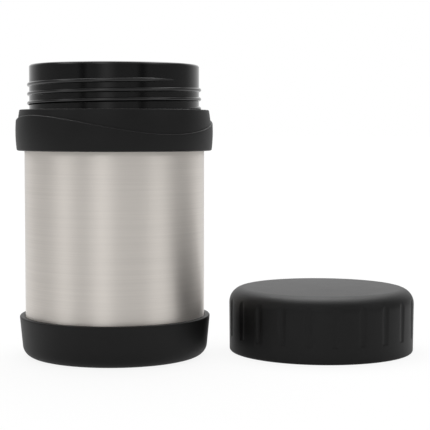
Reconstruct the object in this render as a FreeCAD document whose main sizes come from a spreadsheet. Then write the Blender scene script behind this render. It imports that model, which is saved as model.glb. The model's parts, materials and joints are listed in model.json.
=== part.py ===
import FreeCAD, Part
import Sketcher
import math
import os
from types import SimpleNamespace

# Insulated food jar: a double-walled steel jar with a moulded screw neck, and its
# screw lid standing beside it. The jar's axis is Z, and it stands on z = 0.

os.makedirs("parts", exist_ok=True)
doc = FreeCAD.newDocument("FoodJar")

# Driving dimensions in millimetres, and angles in degrees

SIZES = {
    # Steel jar
    "steel_radius": 41.0,
    "steel_wall": 0.5,
    "steel_foot": 5.6,
    "shoulder_low": 98.0,
    "shoulder_high": 105.5,
    "shoulder_round": 3.0,
    "steel_neck_radius": 36.0,
    "steel_top": 130.2,
    "liner_radius": 37.0,
    "liner_foot": 13.0,
    "liner_foot_round": 8.0,
    "liner_shoulder": 97.0,
    "liner_neck_low": 105.0,
    "mouth_radius": 34.0,
    "pan_drop": 2.5,
    "dimple_radius": 8.5,
    "dimple_height": 1.5,
    "dimple_slope": 1.0,
    "vent_radius": 1.0,
    "bead_radius": 4.5,
    "bead_depth": 1.2,
    "foil_gap": 0.15,
    "foil_wall": 0.2,
    "foil_low": 24.0,
    "foil_high": 95.0,
    "getter_place": 22.0,
    "getter_radius": 4.0,
    "getter_height": 2.0,
    "strap_width": 5.0,
    "strap_foot": 4.0,
    "strap_sheet": 0.3,
    # Neck ring and its thread
    "neck_radius": 38.7,
    "neck_top": 132.86,
    "neck_top_round": 1.6,
    "neck_inner_round": 0.8,
    "neck_lip": 1.86,
    "neck_lip_radius": 34.3,
    "neck_step_radius": 39.4,
    "neck_step_top": 111.6,
    "neck_flange_radius": 41.4,
    "neck_flange_low": 108.0,
    "neck_flange_high": 110.4,
    "thread_pitch": 4.2,
    "thread_height": 0.97,
    "thread_root": 2.2,
    "thread_crest": 0.9,
    "thread_level": 113.25,
    "thread_from": -40.0,
    "thread_to": 1044.0,
    "thread_fade": 32.0,
    # Collar with its wave step
    "collar_low": 94.0,
    "collar_high": 112.5,
    "collar_top_radius": 43.15,
    "collar_mid_radius": 43.9,
    "collar_mid": 107.5,
    "collar_lower_radius": 44.25,
    "collar_lower": 101.0,
    "collar_hole": 39.5,
    "collar_wall": 2.1,
    "collar_grip": 3.4,
    "collar_top_round": 0.5,
    "band_radius": 45.0,
    "band_end_radius": 44.44,
    "band_middle": 102.5,
    "band_round": 0.8,
    "wave_level": 105.6,
    "wave_height": 4.15,
    "wave_high_angle": -144.0,
    "wave_round": 0.3,
    # Base cup
    "cup_rim_radius": 43.7,
    "cup_foot_radius": 41.9,
    "cup_rim": 18.8,
    "cup_foot_round": 5.5,
    "cup_rim_round": 0.7,
    "cup_floor": 2.2,
    "cup_ledge_radius": 36.0,
    "cup_bevel": 0.45,
    "foot_groove_inner": 27.0,
    "foot_groove_outer": 30.0,
    "foot_groove_depth": 0.8,
    "bond_inner": 30.0,
    "bond_outer": 35.5,
    # Lid, with its own z = 0 at the rim
    "lid_x": 96.41,
    "lid_y": 8.56,
    "lid_turn": -87.6,
    "lid_rim_radius": 43.0,
    "lid_top_radius": 43.3,
    "lid_high": 29.85,
    "lid_top_round": 7.0,
    "lid_rim_round": 1.2,
    "lid_bore": 41.0,
    "lid_top_wall": 2.2,
    "flute_count": 22,
    "flute_cutter": 3.61,
    "flute_depth": 0.6,
    "flute_low": 7.9,
    "cap_bore": 40.0,
    "cap_low": 0.6,
    "cap_wall": 1.5,
    "cap_ceiling": 22.4,
    "cap_round": 0.8,
    "plug_radius": 31.0,
    "plug_low": 12.0,
    "plug_round": 1.2,
    "snap_low": 18.9,
    "snap_high": 20.0,
    "snap_height": 0.45,
    "cap_thread_level": 3.2,
    "cap_thread_to": 1060.0,
    "seal_inner_gap": 0.08,
    "seal_gap": 0.3,
    "seal_low": 20.4,
    "seal_rib": 0.45,
    "seal_rib_radius": 36.2,
    "seal_rib_half": 0.5,
    "foam_round": 5.2,
    # Clearance between nested round surfaces
    "fit_gap": 0.05,
}


class Size:
    """A length, with the sheet expression that it comes from."""

    def __init__(self, value, text):
        self.value = value
        self.text = text

    def __add__(self, other):
        other = as_size(other)
        return Size(self.value + other.value, f"({self.text} + {other.text})")

    def __sub__(self, other):
        other = as_size(other)
        return Size(self.value - other.value, f"({self.text} - {other.text})")

    def __mul__(self, factor):
        return Size(self.value * factor, f"({self.text} * {factor})")


def as_size(number):
    return number if isinstance(number, Size) else Size(number, str(number))


def fill_sheet(sizes):
    """Write the sizes to a sheet and hand them back as Size values."""
    sheet = doc.addObject("Spreadsheet::Sheet", "Sizes")
    names = {}
    for row, (alias, number) in enumerate(sizes.items(), start=1):
        sheet.set(f"A{row}", alias)
        sheet.set(f"B{row}", str(number))
        sheet.setAlias(f"B{row}", alias)
        names[alias] = Size(float(number), f"Sizes.{alias}")
    doc.recompute()
    return SimpleNamespace(**names)


def from_sheet():
    """Plain numbers of the sheet, for the shapes made directly."""
    sheet = doc.getObject("Sizes")
    return SimpleNamespace(**{alias: float(sheet.get(alias)) for alias in SIZES})


def origin_plane(body, role):
    return next(item for item in body.Origin.OriginFeatures if item.Role == role)


def profile_sketch(body, name):
    """An empty sketch on the body's XZ plane: first axis radius, second axis height."""
    sketch = body.newObject("Sketcher::SketchObject", name)
    sketch.AttachmentSupport = [(origin_plane(body, "XZ_Plane"), "")]
    sketch.MapMode = "FlatFace"
    return sketch


def pin_point(sketch, line, corner, across, up):
    """Hold one end of a line at a radius and a height bound to the sheet."""
    for kind, axis, size in (("DistanceX", -2, across), ("DistanceY", -1, up)):
        if size.value == 0.0:
            sketch.addConstraint(Sketcher.Constraint("PointOnObject", line, corner, axis))
            continue
        row = sketch.addConstraint(Sketcher.Constraint(kind, -1, 1, line, corner, size.value))
        sketch.setExpression(f"Constraints[{row}]", size.text)


def draw_outline(sketch, outline):
    """A closed outline of straight lines, each corner held by its own two sizes."""
    corners = [(as_size(across), as_size(up)) for across, up in outline]
    points = [FreeCAD.Vector(across.value, up.value, 0) for across, up in corners]
    count = len(points)
    for index in range(count):
        sketch.addGeometry(Part.LineSegment(points[index], points[(index + 1) % count]), False)
    for index in range(count):
        sketch.addConstraint(Sketcher.Constraint("Coincident", index, 2, (index + 1) % count, 1))
    for index, (across, up) in enumerate(corners):
        pin_point(sketch, index, 1, across, up)


def turned_body(name, outline):
    """A body made by turning an outline of (radius, height) corners about Z."""
    body = doc.addObject("PartDesign::Body", name)
    body.Label = name
    sketch = profile_sketch(body, f"{name}_profile")
    draw_outline(sketch, outline)
    turned = body.newObject("PartDesign::Revolution", f"{name}_turned")
    turned.Profile = sketch
    turned.ReferenceAxis = (sketch, ["V_Axis"])
    turned.Angle = 360.0
    doc.recompute()
    return body


def ring_edges(shape, corners):
    """Names of the circular edges that the given outline corners sweep out."""
    names = []
    for index, edge in enumerate(shape.Edges, start=1):
        if not isinstance(edge.Curve, Part.Circle):
            continue
        for across, up in corners:
            near_radius = abs(edge.Curve.Radius - as_size(across).value) < 1e-4
            near_height = abs(edge.Curve.Center.z - as_size(up).value) < 1e-4
            if near_radius and near_height:
                names.append(f"Edge{index}")
    return names


def round_corners(body, label, radius, corners):
    base = body.Tip
    fillet = body.newObject("PartDesign::Fillet", f"{body.Name}_{label}")
    fillet.Base = (base, ring_edges(base.Shape, corners))
    fillet.Radius = radius.value
    fillet.setExpression("Radius", radius.text)
    doc.recompute()


def place_on_lid(feature):
    """Stand a lid piece on the lid's own axis, turned so that its grip is in place."""
    feature.Placement = FreeCAD.Placement(
        FreeCAD.Vector(d.lid_x.value, d.lid_y.value, 0.0),
        FreeCAD.Rotation(FreeCAD.Vector(0, 0, 1), d.lid_turn.value),
    )
    feature.setExpression("Placement.Base.x", d.lid_x.text)
    feature.setExpression("Placement.Base.y", d.lid_y.text)


def polar(radius, degrees, height):
    angle = math.radians(degrees)
    return FreeCAD.Vector(radius * math.cos(angle), radius * math.sin(angle), height)


def thread_ridge(wall_radius, level, start, end, outward, size):
    """Solid of one thread ridge on a round wall, sinking into the wall at both ends.

    outward is 1 for a ridge that stands out of the wall and -1 for one that stands in.
    """
    embed = 0.3
    sunk = -0.1
    step = 12.0
    count = int(round((end - start) / step))
    sections = []
    for index in range(count + 1):
        angle = start + (end - start) * index / count
        from_end = min(angle - start, end - angle)
        share = min(1.0, from_end / size.thread_fade)
        swell = 0.5 - 0.5 * math.cos(math.pi * share)
        crest = wall_radius + outward * (sunk + (size.thread_height - sunk) * swell)
        root = wall_radius - outward * embed
        middle = level + size.thread_pitch * angle / 360.0
        root_half = size.thread_root / 2.0
        crest_half = size.thread_crest / 2.0
        ring = [
            polar(root, angle, middle - root_half),
            polar(crest, angle, middle - crest_half),
            polar(crest, angle, middle + crest_half),
            polar(root, angle, middle + root_half),
        ]
        sections.append(Part.makePolygon(ring + ring[:1]))
    return Part.makeLoft(sections, True, False)


def turned_solid(edges):
    """Solid turned about Z from edges that close an outline in the XZ plane."""
    wire = Part.Wire(Part.__sortEdges__(edges))
    return Part.Face(wire).revolve(FreeCAD.Vector(0, 0, 0), FreeCAD.Vector(0, 0, 1), 360.0)


def line_edges(corners):
    points = [FreeCAD.Vector(across, 0, up) for across, up in corners]
    return [Part.LineSegment(a, b).toShape() for a, b in zip(points, points[1:])]


def arc_edge(first, middle, last):
    points = [FreeCAD.Vector(across, 0, up) for across, up in (first, middle, last)]
    return Part.Arc(*points).toShape()


def shape_feature(name, shape):
    feature = doc.addObject("Part::Feature", name)
    feature.Label = name
    feature.Shape = shape
    return feature


def make_outer_shell():
    """Drawn steel outer wall, necked in above the shoulder."""
    wide = d.steel_radius
    narrow = d.steel_neck_radius
    inner_wide = wide - d.steel_wall
    inner_narrow = narrow - d.steel_wall
    top = d.steel_top - d.steel_wall
    body = turned_body("outer_shell", [
        (inner_wide, d.steel_foot),
        (wide, d.steel_foot),
        (wide, d.shoulder_low),
        (narrow, d.shoulder_high),
        (narrow, top),
        (inner_narrow, top),
        (inner_narrow, d.shoulder_high),
        (inner_wide, d.shoulder_low),
    ])
    tight = d.shoulder_round
    loose = d.shoulder_round + d.steel_wall
    round_corners(body, "shoulder_outside", loose, [(wide, d.shoulder_low)])
    round_corners(body, "shoulder_inside", tight, [(inner_wide, d.shoulder_low)])
    round_corners(body, "neck_root_outside", tight, [(narrow, d.shoulder_high)])
    round_corners(body, "neck_root_inside", loose, [(inner_narrow, d.shoulder_high)])
    return body


def make_inner_liner():
    """Deep-drawn steel inner vessel; its lip turns out over the outer wall."""
    wide = d.liner_radius
    inner_wide = wide - d.steel_wall
    outer_mouth = d.mouth_radius + d.steel_wall
    lip_low = d.steel_top - d.steel_wall
    inner_foot = d.liner_foot + d.steel_wall
    body = turned_body("inner_liner", [
        (0.0, d.liner_foot),
        (wide, d.liner_foot),
        (wide, d.liner_shoulder),
        (outer_mouth, d.liner_neck_low),
        (outer_mouth, lip_low),
        (d.steel_neck_radius, lip_low),
        (d.steel_neck_radius, d.steel_top),
        (d.mouth_radius, d.steel_top),
        (d.mouth_radius, d.liner_neck_low),
        (inner_wide, d.liner_shoulder),
        (inner_wide, inner_foot),
        (0.0, inner_foot),
    ])
    outer_foot_round = d.liner_foot_round + d.steel_wall
    round_corners(body, "foot_outside", outer_foot_round, [(wide, d.liner_foot)])
    round_corners(body, "foot_inside", d.liner_foot_round, [(inner_wide, inner_foot)])
    shoulders = [(wide, d.liner_shoulder), (inner_wide, d.liner_shoulder)]
    shoulders += [(outer_mouth, d.liner_neck_low), (d.mouth_radius, d.liner_neck_low)]
    round_corners(body, "shoulders", d.shoulder_round, shoulders)
    return body


def make_shell_base():
    """Pan welded into the foot of the outer wall, with a dimple round the vent hole."""
    rim = d.steel_radius - d.steel_wall - d.fit_gap
    low = d.steel_foot + d.pan_drop
    high = low + d.steel_wall
    dimple_low = low + d.dimple_height
    slope_end = d.dimple_radius + d.dimple_slope
    return turned_body("shell_base", [
        (d.vent_radius, dimple_low),
        (d.dimple_radius, dimple_low),
        (slope_end, low),
        (rim - d.steel_wall, low),
        (rim - d.steel_wall, d.steel_foot),
        (rim, d.steel_foot),
        (rim, high),
        (slope_end, high),
        (d.dimple_radius, dimple_low + d.steel_wall),
        (d.vent_radius, dimple_low + d.steel_wall),
    ])


def make_vacuum_seal():
    """Glass bead that closes the vent hole from below."""
    under = d.steel_foot + d.pan_drop + d.dimple_height
    stem = d.vent_radius - d.fit_gap
    return turned_body("vacuum_seal", [
        (0.0, under - d.bead_depth),
        (d.bead_radius * 0.7, under - d.bead_depth),
        (d.bead_radius, under - d.bead_depth * 0.5),
        (d.bead_radius, under),
        (stem, under),
        (stem, under + d.steel_wall * 0.8),
        (0.0, under + d.steel_wall * 0.8),
    ])


def bind_place(feature, x=None, z=None):
    """Shift a piece along X and Z by sizes from the sheet."""
    for axis, size in (("x", x), ("z", z)):
        if size is not None:
            feature.setExpression(f"Placement.Base.{axis}", size.text)


def make_getter():
    """Gas-absorbing pellet on the vacuum side of the pan."""
    pellet = doc.addObject("Part::Cylinder", "getter")
    pellet.Label = "getter"
    pellet.setExpression("Radius", d.getter_radius.text)
    pellet.setExpression("Height", d.getter_height.text)
    bind_place(pellet, x=d.getter_place, z=d.steel_foot + d.pan_drop + d.steel_wall)
    return pellet


def make_getter_clip():
    """Sheet strap, hat-shaped, that holds the pellet down on the pan."""
    body = doc.addObject("PartDesign::Body", "getter_clip")
    body.Label = "getter_clip"
    half = d.getter_radius + d.fit_gap
    rise = d.getter_height
    sketch = profile_sketch(body, "getter_clip_profile")
    foot_end = d.getter_place + half + d.strap_foot
    foot_start = d.getter_place - half - d.strap_foot
    left = d.getter_place - half
    right = d.getter_place + half
    floor = d.steel_foot + d.pan_drop + d.steel_wall
    sheet_top = floor + d.strap_sheet
    draw_outline(sketch, [
        (foot_start, floor),
        (left, floor),
        (left, floor + rise),
        (right, floor + rise),
        (right, floor),
        (foot_end, floor),
        (foot_end, sheet_top),
        (right + d.strap_sheet, sheet_top),
        (right + d.strap_sheet, floor + rise + d.strap_sheet),
        (left - d.strap_sheet, floor + rise + d.strap_sheet),
        (left - d.strap_sheet, sheet_top),
        (foot_start, sheet_top),
    ])
    pad = body.newObject("PartDesign::Pad", "getter_clip_strap")
    pad.Profile = sketch
    pad.Midplane = True
    pad.Length = d.strap_width.value
    pad.setExpression("Length", d.strap_width.text)
    doc.recompute()
    return body


def make_foil_wrap():
    """Heat-reflecting foil round the inner vessel, in the vacuum space."""
    inner = d.liner_radius + d.foil_gap
    outer = inner + d.foil_wall
    corners = [(inner, d.foil_low), (outer, d.foil_low), (outer, d.foil_high), (inner, d.foil_high)]
    return turned_body("foil_wrap", corners)


def make_neck_ring():
    """Moulded neck: a sleeve on the steel neck, hooked over its lip, with the thread."""
    size = from_sheet()
    bore = size.steel_neck_radius + size.fit_gap
    sleeve = turned_solid(line_edges([
        (bore, size.neck_flange_low),
        (size.neck_flange_radius, size.neck_flange_low),
        (size.neck_flange_radius, size.neck_flange_high),
        (size.neck_step_radius, size.neck_flange_high),
        (size.neck_step_radius, size.neck_step_top),
        (size.neck_radius, size.neck_step_top),
        (size.neck_radius, size.neck_top),
        (size.neck_lip_radius, size.neck_top),
        (size.neck_lip_radius, size.neck_top - size.neck_lip),
        (bore, size.neck_top - size.neck_lip),
        (bore, size.neck_flange_low),
    ]))
    for radius, corner in (
        (size.neck_top_round, (size.neck_radius, size.neck_top)),
        (size.neck_inner_round, (size.neck_lip_radius, size.neck_top)),
    ):
        edges = [sleeve.Edges[int(name[4:]) - 1] for name in ring_edges(sleeve, [corner])]
        sleeve = sleeve.makeFillet(radius, edges)
    ridge = thread_ridge(
        size.neck_radius, size.thread_level, size.thread_from, size.thread_to, 1, size
    )
    return shape_feature("neck_ring", sleeve.fuse(ridge))


def make_neck_seal():
    """Flat ring squeezed between the steel lip and the neck ring's hook."""
    inner = d.neck_lip_radius + d.fit_gap
    outer = d.steel_neck_radius - d.fit_gap
    high = d.neck_top - d.neck_lip
    corners = [(inner, d.steel_top), (outer, d.steel_top), (outer, high), (inner, high)]
    return turned_body("neck_seal", corners)


def wave_height(degrees, size):
    """Height of the collar's step at an angle about Z: two waves round the jar."""
    from_crest = math.radians(degrees - size.wave_high_angle)
    return size.wave_level + size.wave_height * math.cos(2.0 * from_crest)


def wave_tool(size):
    """Solid above the wave, which trims the collar's raised band."""
    samples = 72
    inner_radius = size.collar_mid_radius - 2.0
    outer_radius = size.band_radius + 2.0
    reach = 20.0
    curves = []
    for radius in (inner_radius, outer_radius):
        angles = [360.0 * index / samples for index in range(samples)]
        points = [polar(radius, angle, wave_height(angle, size)) for angle in angles]
        curve = Part.BSplineCurve()
        curve.interpolate(Points=points, PeriodicFlag=True)
        curves.append(curve.toShape())
    floor = Part.makeRuledSurface(curves[0], curves[1])
    return floor.extrude(FreeCAD.Vector(0, 0, reach))


def make_collar():
    """Moulded collar over the shoulder, its lower band raised below a wave."""
    size = from_sheet()
    bore = size.steel_radius + size.fit_gap
    cavity = size.collar_lower_radius - size.collar_wall
    under_top = size.neck_flange_high
    grip_top = size.collar_low + size.collar_grip
    foot_radius = size.band_end_radius - size.band_round
    body = turned_solid(
        line_edges([
            (size.collar_lower_radius, size.collar_lower),
            (foot_radius, size.collar_low),
            (bore, size.collar_low),
            (bore, grip_top),
            (cavity, grip_top + cavity - bore),
            (cavity, under_top),
            (size.collar_hole, under_top),
            (size.collar_hole, size.collar_high),
            (size.collar_top_radius, size.collar_high),
        ])
        + [arc_edge(
            (size.collar_top_radius, size.collar_high),
            (size.collar_mid_radius, size.collar_mid),
            (size.collar_lower_radius, size.collar_lower),
        )]
    )
    rim = ring_edges(body, [(size.collar_top_radius, size.collar_high)])
    body = body.makeFillet(size.collar_top_round, [body.Edges[int(rim[0][4:]) - 1]])
    band_high = 2.0 * size.band_middle - size.collar_low
    core = size.collar_mid_radius - 1.0
    band = turned_solid(
        line_edges([
            (size.band_end_radius, band_high),
            (core, band_high),
            (core, size.collar_low),
            (size.band_end_radius, size.collar_low),
        ])
        + [arc_edge(
            (size.band_end_radius, size.collar_low),
            (size.band_radius, size.band_middle),
            (size.band_end_radius, band_high),
        )]
    )
    foot = ring_edges(band, [(size.band_end_radius, size.collar_low)])
    band = band.makeFillet(size.band_round, [band.Edges[int(foot[0][4:]) - 1]])
    band = band.cut(wave_tool(size))
    crest = [
        edge for edge in band.Edges
        if edge.BoundBox.ZLength > size.wave_height
        and edge.BoundBox.XLength > 2.0 * size.collar_mid_radius
    ]
    band = band.makeFillet(size.wave_round, crest)
    return shape_feature("collar", body.fuse(band))


def make_base_cup():
    """Moulded cup on the jar's foot; a ledge inside carries the steel wall."""
    bore = d.steel_radius + d.fit_gap
    body = turned_body("base_cup", [
        (0.0, 0.0),
        (d.foot_groove_inner, 0.0),
        (d.foot_groove_inner, d.foot_groove_depth),
        (d.foot_groove_outer, d.foot_groove_depth),
        (d.foot_groove_outer, 0.0),
        (d.cup_foot_radius, 0.0),
        (d.cup_rim_radius, d.cup_rim),
        (bore + d.cup_bevel, d.cup_rim),
        (bore, d.cup_rim - d.cup_bevel),
        (bore, d.steel_foot),
        (d.cup_ledge_radius, d.steel_foot),
        (d.cup_ledge_radius, d.cup_floor),
        (0.0, d.cup_floor),
    ])
    round_corners(body, "foot_edge", d.cup_foot_round, [(d.cup_foot_radius, 0.0)])
    round_corners(body, "rim_edge", d.cup_rim_round, [(d.cup_rim_radius, d.cup_rim)])
    return body


def make_base_bond():
    """Bead of adhesive between the cup's floor and the steel pan."""
    high = d.steel_foot + d.pan_drop
    corners = [(d.bond_inner, d.cup_floor), (d.bond_outer, d.cup_floor)]
    corners += [(d.bond_outer, high), (d.bond_inner, high)]
    return turned_body("base_bond", corners)


def cut_flutes(body):
    """Grip flutes: one flat-ended groove, repeated about the lid's axis."""
    sketch = profile_sketch(body, "flute_profile")
    axis = d.lid_top_radius - d.flute_depth + d.flute_cutter
    inner = axis - d.flute_cutter
    high = d.lid_high + 1.0
    draw_outline(sketch, [
        (inner, d.flute_low),
        (axis, d.flute_low),
        (axis, high),
        (inner, high),
    ])
    foot = FreeCAD.Vector(axis.value, d.flute_low.value, 0)
    top = FreeCAD.Vector(axis.value, high.value, 0)
    centre_line = sketch.addGeometry(Part.LineSegment(foot, top), True)
    sketch.addConstraint(Sketcher.Constraint("Coincident", centre_line, 1, 1, 1))
    sketch.addConstraint(Sketcher.Constraint("Coincident", centre_line, 2, 2, 1))
    plain = body.Tip
    before = plain.Shape.Volume
    groove = body.newObject("PartDesign::Groove", "flute")
    groove.Profile = sketch
    groove.ReferenceAxis = (sketch, ["Axis0"])
    groove.Angle = 360.0
    doc.recompute()
    one_flute = before - groove.Shape.Volume
    pattern = body.newObject("PartDesign::PolarPattern", "flutes")
    pattern.Originals = [groove]
    pattern.Axis = (origin_plane(body, "Z_Axis"), [""])
    pattern.Angle = 360.0
    pattern.Occurrences = int(d.flute_count.value)
    pattern.setExpression("Occurrences", d.flute_count.text)
    body.Tip = pattern
    doc.recompute()
    all_flutes = before - pattern.Shape.Volume
    print("one flute %.2f mm3, all flutes %.2f mm3" % (one_flute, all_flutes))


def make_lid_shell():
    """Outer shell of the lid: a fluted cap with a broadly rounded top edge."""
    ceiling = d.lid_high - d.lid_top_wall
    body = turned_body("lid_shell", [
        (0.0, ceiling),
        (d.lid_bore, ceiling),
        (d.lid_bore, 0.0),
        (d.lid_rim_radius, 0.0),
        (d.lid_top_radius, d.lid_high),
        (0.0, d.lid_high),
    ])
    round_corners(body, "top_edge", d.lid_top_round, [(d.lid_top_radius, d.lid_high)])
    inside = d.lid_top_round - d.lid_top_wall
    round_corners(body, "top_inside", inside, [(d.lid_bore, ceiling)])
    round_corners(body, "rim_edge", d.lid_rim_round, [(d.lid_rim_radius, 0.0)])
    cut_flutes(body)
    place_on_lid(body)
    return body


def make_lid_liner():
    """Inner cap: threaded skirt, ceiling over the seal, and a hollow plug."""
    size = from_sheet()
    outer = size.lid_bore - size.fit_gap
    ceiling_high = size.cap_ceiling + size.cap_wall
    plug_inner = size.plug_radius - size.cap_wall
    snap = size.plug_radius + size.snap_height
    cap = turned_solid(line_edges([
        (0.0, size.plug_low),
        (size.plug_radius, size.plug_low),
        (size.plug_radius, size.snap_low),
        (snap, size.snap_low + size.snap_height),
        (snap, size.snap_high - size.snap_height * 0.5),
        (size.plug_radius, size.snap_high),
        (size.plug_radius, size.cap_ceiling),
        (size.cap_bore, size.cap_ceiling),
        (size.cap_bore, size.cap_low),
        (outer, size.cap_low),
        (outer, ceiling_high),
        (plug_inner, ceiling_high),
        (plug_inner, size.plug_low + size.cap_wall),
        (0.0, size.plug_low + size.cap_wall),
        (0.0, size.plug_low),
    ]))
    for radius, corner in (
        (size.plug_round, (size.plug_radius, size.plug_low)),
        (size.cap_round, (outer, ceiling_high)),
    ):
        edges = [cap.Edges[int(name[4:]) - 1] for name in ring_edges(cap, [corner])]
        cap = cap.makeFillet(radius, edges)
    ridge = thread_ridge(
        size.cap_bore, size.cap_thread_level, 0.0, size.cap_thread_to, -1, size
    )
    feature = shape_feature("lid_liner", cap.fuse(ridge))
    place_on_lid(feature)
    return feature


def make_lid_foam():
    """Insulation that fills the plug and the space under the lid's top."""
    floor = d.plug_low + d.cap_wall
    step = d.cap_ceiling + d.cap_wall
    ceiling = d.lid_high - d.lid_top_wall
    narrow = d.plug_radius - d.cap_wall - d.fit_gap
    wide = d.lid_bore - d.fit_gap * 2.0
    body = turned_body("lid_foam", [
        (0.0, floor),
        (narrow, floor),
        (narrow, step),
        (wide - d.cap_round, step),
        (wide - d.cap_round, ceiling),
        (0.0, ceiling),
    ])
    round_corners(body, "top_edge", d.foam_round - d.cap_wall, [(wide - d.cap_round, ceiling)])
    place_on_lid(body)
    return body


def make_lid_seal():
    """Silicone sealing ring on the plug, with the rib that meets the neck's top."""
    inner = d.plug_radius + d.seal_inner_gap
    outer = d.cap_bore - d.seal_gap
    high = d.cap_ceiling - d.seal_gap
    rib_low = d.seal_low - d.seal_rib
    rib_root = d.seal_rib_half + d.seal_rib
    body = turned_body("lid_seal", [
        (inner, d.seal_low),
        (d.seal_rib_radius - rib_root, d.seal_low),
        (d.seal_rib_radius - d.seal_rib_half, rib_low),
        (d.seal_rib_radius + d.seal_rib_half, rib_low),
        (d.seal_rib_radius + rib_root, d.seal_low),
        (outer, d.seal_low),
        (outer, high),
        (inner, high),
    ])
    place_on_lid(body)
    return body


def check_document(nodes):
    """Stop unless every object is sound and every sub-part is one valid solid."""
    for item in doc.Objects:
        if "Invalid" in item.State or "Error" in item.State:
            raise RuntimeError(f"{item.Name} failed: {item.State}")
    for node in nodes:
        shape = node.Shape
        if shape.isNull() or not shape.isValid() or len(shape.Solids) != 1:
            raise RuntimeError(f"{node.Label} is not one valid solid")




d = fill_sheet(SIZES)
nodes = [
    make_outer_shell(),
    make_inner_liner(),
    make_shell_base(),
    make_vacuum_seal(),
    make_getter(),
    make_getter_clip(),
    make_foil_wrap(),
    make_neck_ring(),
    make_neck_seal(),
    make_collar(),
    make_base_cup(),
    make_base_bond(),
    make_lid_shell(),
    make_lid_liner(),
    make_lid_foam(),
    make_lid_seal(),
]
doc.recompute()
check_document(nodes)
for node in nodes:
    node.Shape.exportStep(f"parts/{node.Label}.step")
    box = node.Shape.BoundBox
    print("%-12s %9.1f mm3  x %.2f..%.2f  y %.2f..%.2f  z %.2f..%.2f" % (
        node.Label, node.Shape.Volume,
        box.XMin, box.XMax, box.YMin, box.YMax, box.ZMin, box.ZMax,
    ))
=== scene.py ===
import json
import math

import bmesh
import bpy
from mathutils import Matrix, Vector


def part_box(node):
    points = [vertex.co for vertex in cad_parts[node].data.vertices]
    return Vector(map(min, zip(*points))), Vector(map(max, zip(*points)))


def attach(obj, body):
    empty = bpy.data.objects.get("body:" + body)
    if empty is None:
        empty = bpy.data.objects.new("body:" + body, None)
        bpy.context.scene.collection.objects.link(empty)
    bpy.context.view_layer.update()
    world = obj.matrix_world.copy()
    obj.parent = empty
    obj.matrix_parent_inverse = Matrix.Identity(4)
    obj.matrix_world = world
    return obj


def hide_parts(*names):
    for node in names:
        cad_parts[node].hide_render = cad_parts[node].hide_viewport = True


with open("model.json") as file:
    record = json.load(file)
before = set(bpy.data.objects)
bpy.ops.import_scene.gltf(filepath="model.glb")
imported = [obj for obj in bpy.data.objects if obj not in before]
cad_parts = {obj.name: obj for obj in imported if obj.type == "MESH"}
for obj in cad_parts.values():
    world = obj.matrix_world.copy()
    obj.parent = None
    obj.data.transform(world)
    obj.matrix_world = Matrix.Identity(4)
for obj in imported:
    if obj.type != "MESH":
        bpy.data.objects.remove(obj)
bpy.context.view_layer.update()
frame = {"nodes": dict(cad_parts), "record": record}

MM = 0.001

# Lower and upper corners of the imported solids
WALL_LOW, WALL_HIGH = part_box("outer_shell")
LINER_LOW, LINER_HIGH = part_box("inner_liner")
NECK_LOW, NECK_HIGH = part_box("neck_ring")
COLLAR_LOW, COLLAR_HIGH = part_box("collar")
CUP_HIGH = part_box("base_cup")[1]
LID_LOW, LID_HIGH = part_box("lid_shell")
CAP_LOW, CAP_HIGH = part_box("lid_liner")
SEAL_LOW, SEAL_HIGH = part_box("lid_seal")

# Driving sizes: the steel, the fits, the lid and the thread
SHEET = 0.5 * MM
SHEET_EDGE = 0.15 * MM
EDGE = 0.2 * MM
FIT = 0.05 * MM
STEEL_RADIUS = 41.0 * MM
STEEL_NECK_RADIUS = 36.0 * MM
MOUTH_RADIUS = 34.0 * MM
NECK_RADIUS = 38.7 * MM
JAR_AXIS = Vector((0.0, 0.0, 0.0))
LID_AXIS = Vector(((LID_LOW.x + LID_HIGH.x) / 2, (LID_LOW.y + LID_HIGH.y) / 2, 0.0))
LID_TURN = math.radians(-87.6)
LID_BORE = 41.0 * MM
CAP_BORE = 40.0 * MM
PLUG_RADIUS = 31.0 * MM

THREAD_PITCH = 4.2 * MM
THREAD_HEIGHT = 0.97 * MM
THREAD_WIDTH = 2.1 * MM
THREAD_ROOT = 0.3 * MM
THREAD_FADE = math.radians(32)

# The longest run between two points of a turned outline, and the gap that counts as none
RUN = 2.0 * MM
TOUCHING = 0.001 * MM


class Field:
    """One number in a node tree, written with plain arithmetic."""

    def __init__(self, tree, socket):
        self.tree = tree
        self.socket = socket

    def apply(self, operation, *others):
        """A math node's result for this number and the others, fields or plain ones."""
        node = self.tree.nodes.new("ShaderNodeMath")
        node.operation = operation
        for slot, item in enumerate((self, *others)):
            if isinstance(item, Field):
                self.tree.links.new(item.socket, node.inputs[slot])
            else:
                node.inputs[slot].default_value = item
        return Field(self.tree, node.outputs[0])

    def __add__(self, other):
        return self.apply("ADD", other)

    def __sub__(self, other):
        return self.apply("SUBTRACT", other)

    def __mul__(self, other):
        return self.apply("MULTIPLY", other)

    def __truediv__(self, other):
        return self.apply("DIVIDE", other)

    def rest(self):
        """What is left of 1."""
        return self * -1.0 + 1.0

    def blend(self, low, high):
        """Smooth step: 0 below low and 1 above high."""
        node = self.tree.nodes.new("ShaderNodeMapRange")
        node.interpolation_type = "SMOOTHSTEP"
        self.tree.links.new(self.socket, node.inputs["Value"])
        for name, item in (("From Min", low), ("From Max", high)):
            if isinstance(item, Field):
                self.tree.links.new(item.socket, node.inputs[name])
            else:
                node.inputs[name].default_value = item
        return Field(self.tree, node.outputs["Result"])


# Outlines and turned walls

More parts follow.
